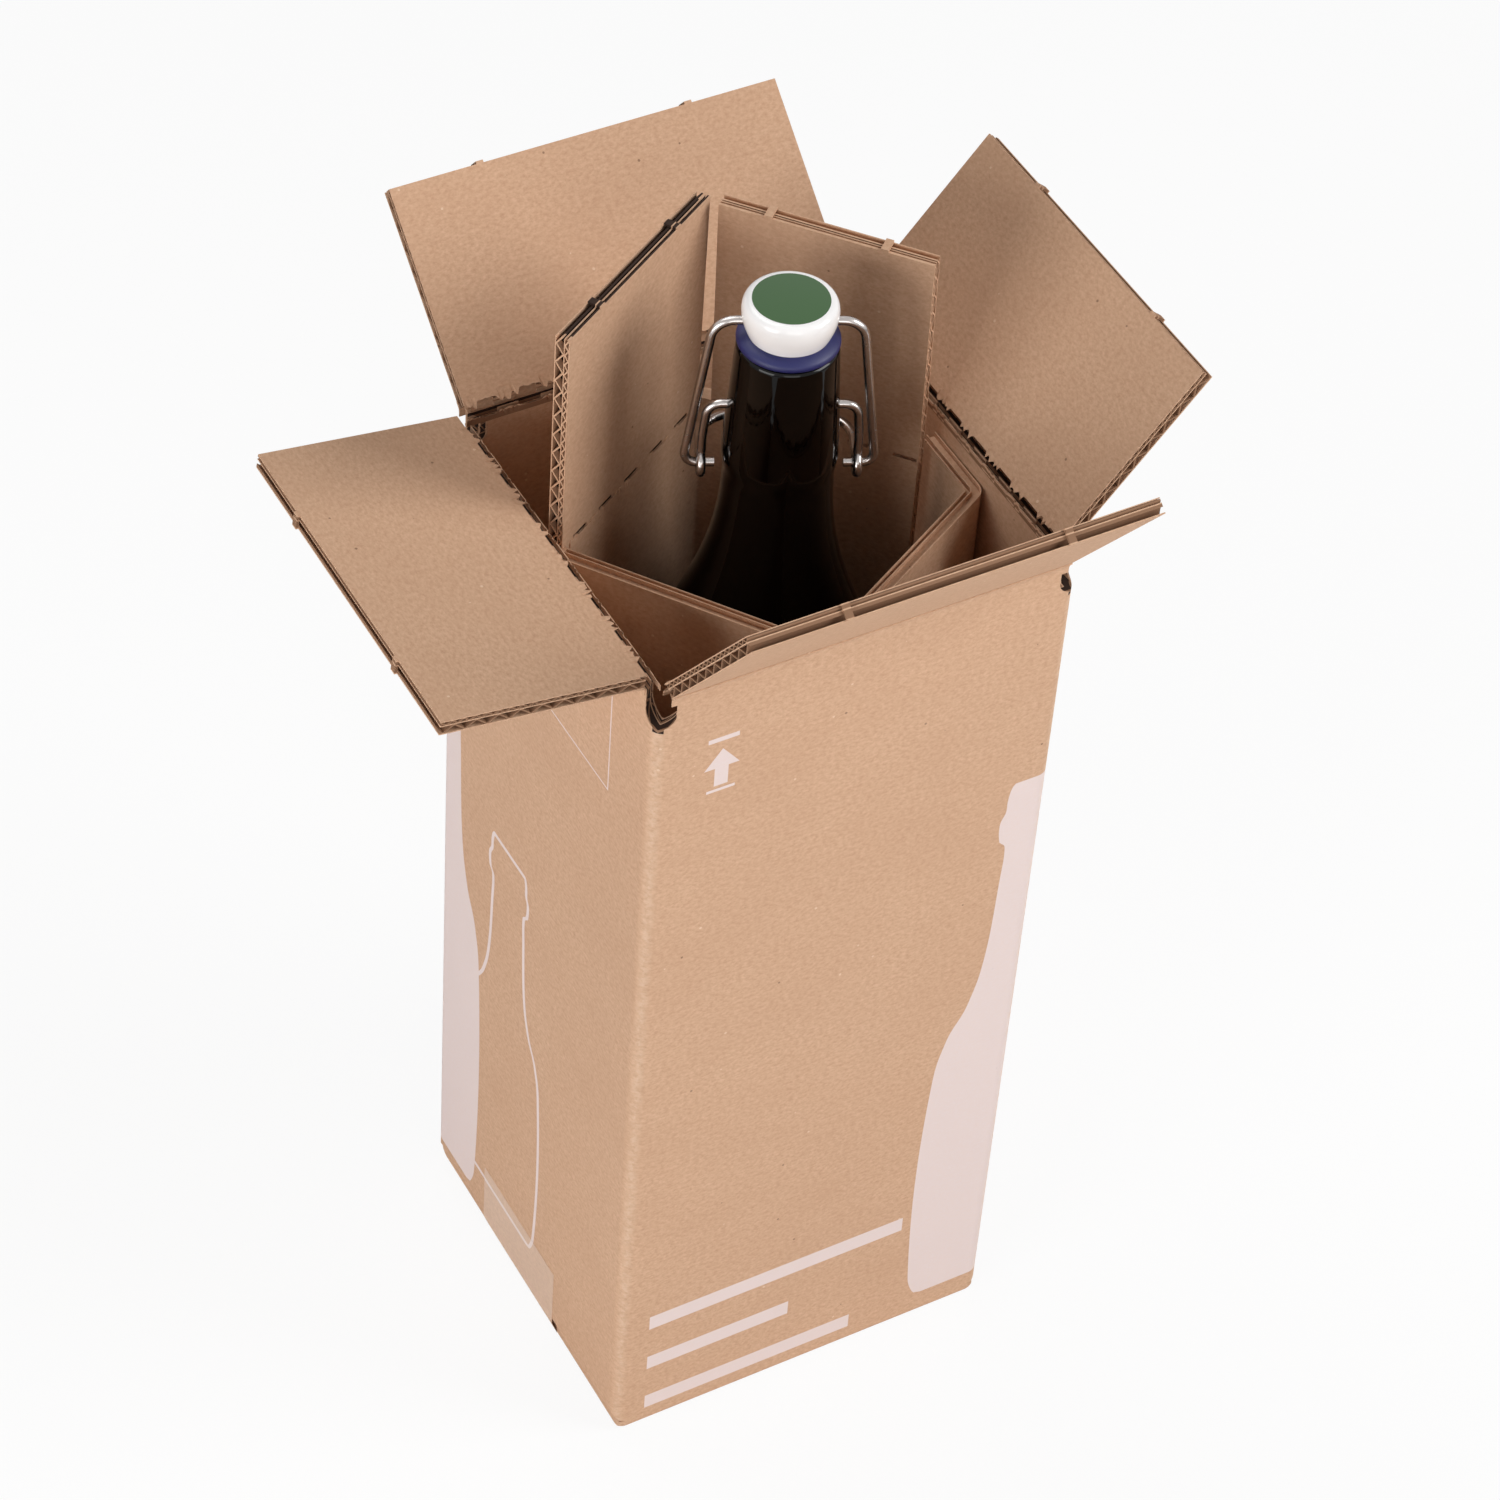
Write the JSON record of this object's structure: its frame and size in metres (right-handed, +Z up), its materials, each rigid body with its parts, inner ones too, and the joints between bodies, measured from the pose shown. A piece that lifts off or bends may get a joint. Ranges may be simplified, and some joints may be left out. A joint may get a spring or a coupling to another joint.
{
  "type": "bottle shipping box",
  "caption": "Open corrugated shipping carton with hinged top flaps and a folded sleeve that holds a swing-top bottle.",
  "frame": {"origin": "centre of the carton's footprint, on the surface that it stands on", "axes": "+Z up the carton, -Y out of its front wall, -X out of its left wall"},
  "size_m": [0.2308, 0.2137, 0.3875],
  "materials": {
    "kraft_board": "matt brown kraft liner over corrugated paper",
    "clear_tape": "thin see-through packing tape",
    "dark_glass": "glossy near-black glass",
    "porcelain": "white glaze with a plain green field on top",
    "blue_rubber": "satin blue rubber",
    "steel_wire": "drawn bright steel wire"
  },
  "bodies": {
    "box": {"carton": "kraft_board", "sealing_tape": "clear_tape", "bottle_sleeve": "kraft_board", "height_spacer": "kraft_board", "bottle": "dark_glass"},
    "front_flap": {"front_flap": "kraft_board"},
    "back_flap": {"back_flap": "kraft_board"},
    "left_flap": {"left_flap": "kraft_board"},
    "right_flap": {"right_flap": "kraft_board"},
    "lever": {"lever_wire": "steel_wire"},
    "bail": {"bail_wire": "steel_wire"},
    "stopper": {"stopper": "porcelain", "stopper_gasket": "blue_rubber"}
  },
  "joints": [
    {"name": "front_flap_hinge", "type": "hinge", "parent": "box", "child": "front_flap", "pos_m": [0, -0.0632, 0.3175], "axis": [1, 0, 0], "range_deg": [-37, 138]},
    {"name": "back_flap_hinge", "type": "hinge", "parent": "box", "child": "back_flap", "pos_m": [0, 0.0632, 0.3175], "axis": [-1, 0, 0], "range_deg": [-49.6, 125.4]},
    {"name": "left_flap_hinge", "type": "hinge", "parent": "box", "child": "left_flap", "pos_m": [-0.0652, 0, 0.3175], "axis": [0, -1, 0], "range_deg": [-82, 93]},
    {"name": "right_flap_hinge", "type": "hinge", "parent": "box", "child": "right_flap", "pos_m": [0.0652, 0, 0.3175], "axis": [0, 1, 0], "range_deg": [-40.5, 134.5]},
    {"name": "lever_hinge", "type": "hinge", "parent": "box", "child": "lever", "pos_m": [0.002, -0.005, 0.351], "axis": [0.9063, -0.4226, 0], "range_deg": [0, 100]},
    {"name": "bail_hinge", "type": "hinge", "parent": "lever", "child": "bail", "pos_m": [0.002, -0.005, 0.33], "axis": [0.9063, -0.4226, 0], "range_deg": [-65, 5]},
    {"name": "stopper_hinge", "type": "hinge", "parent": "bail", "child": "stopper", "pos_m": [0.002, -0.005, 0.3801], "axis": [0.9063, -0.4226, 0], "range_deg": [-45, 5]}
  ],
  "couplings": [
    {"joint": "bail_hinge", "follows": "lever_hinge", "ratio": -0.6},
    {"joint": "stopper_hinge", "follows": "lever_hinge", "ratio": -0.4}
  ]
}
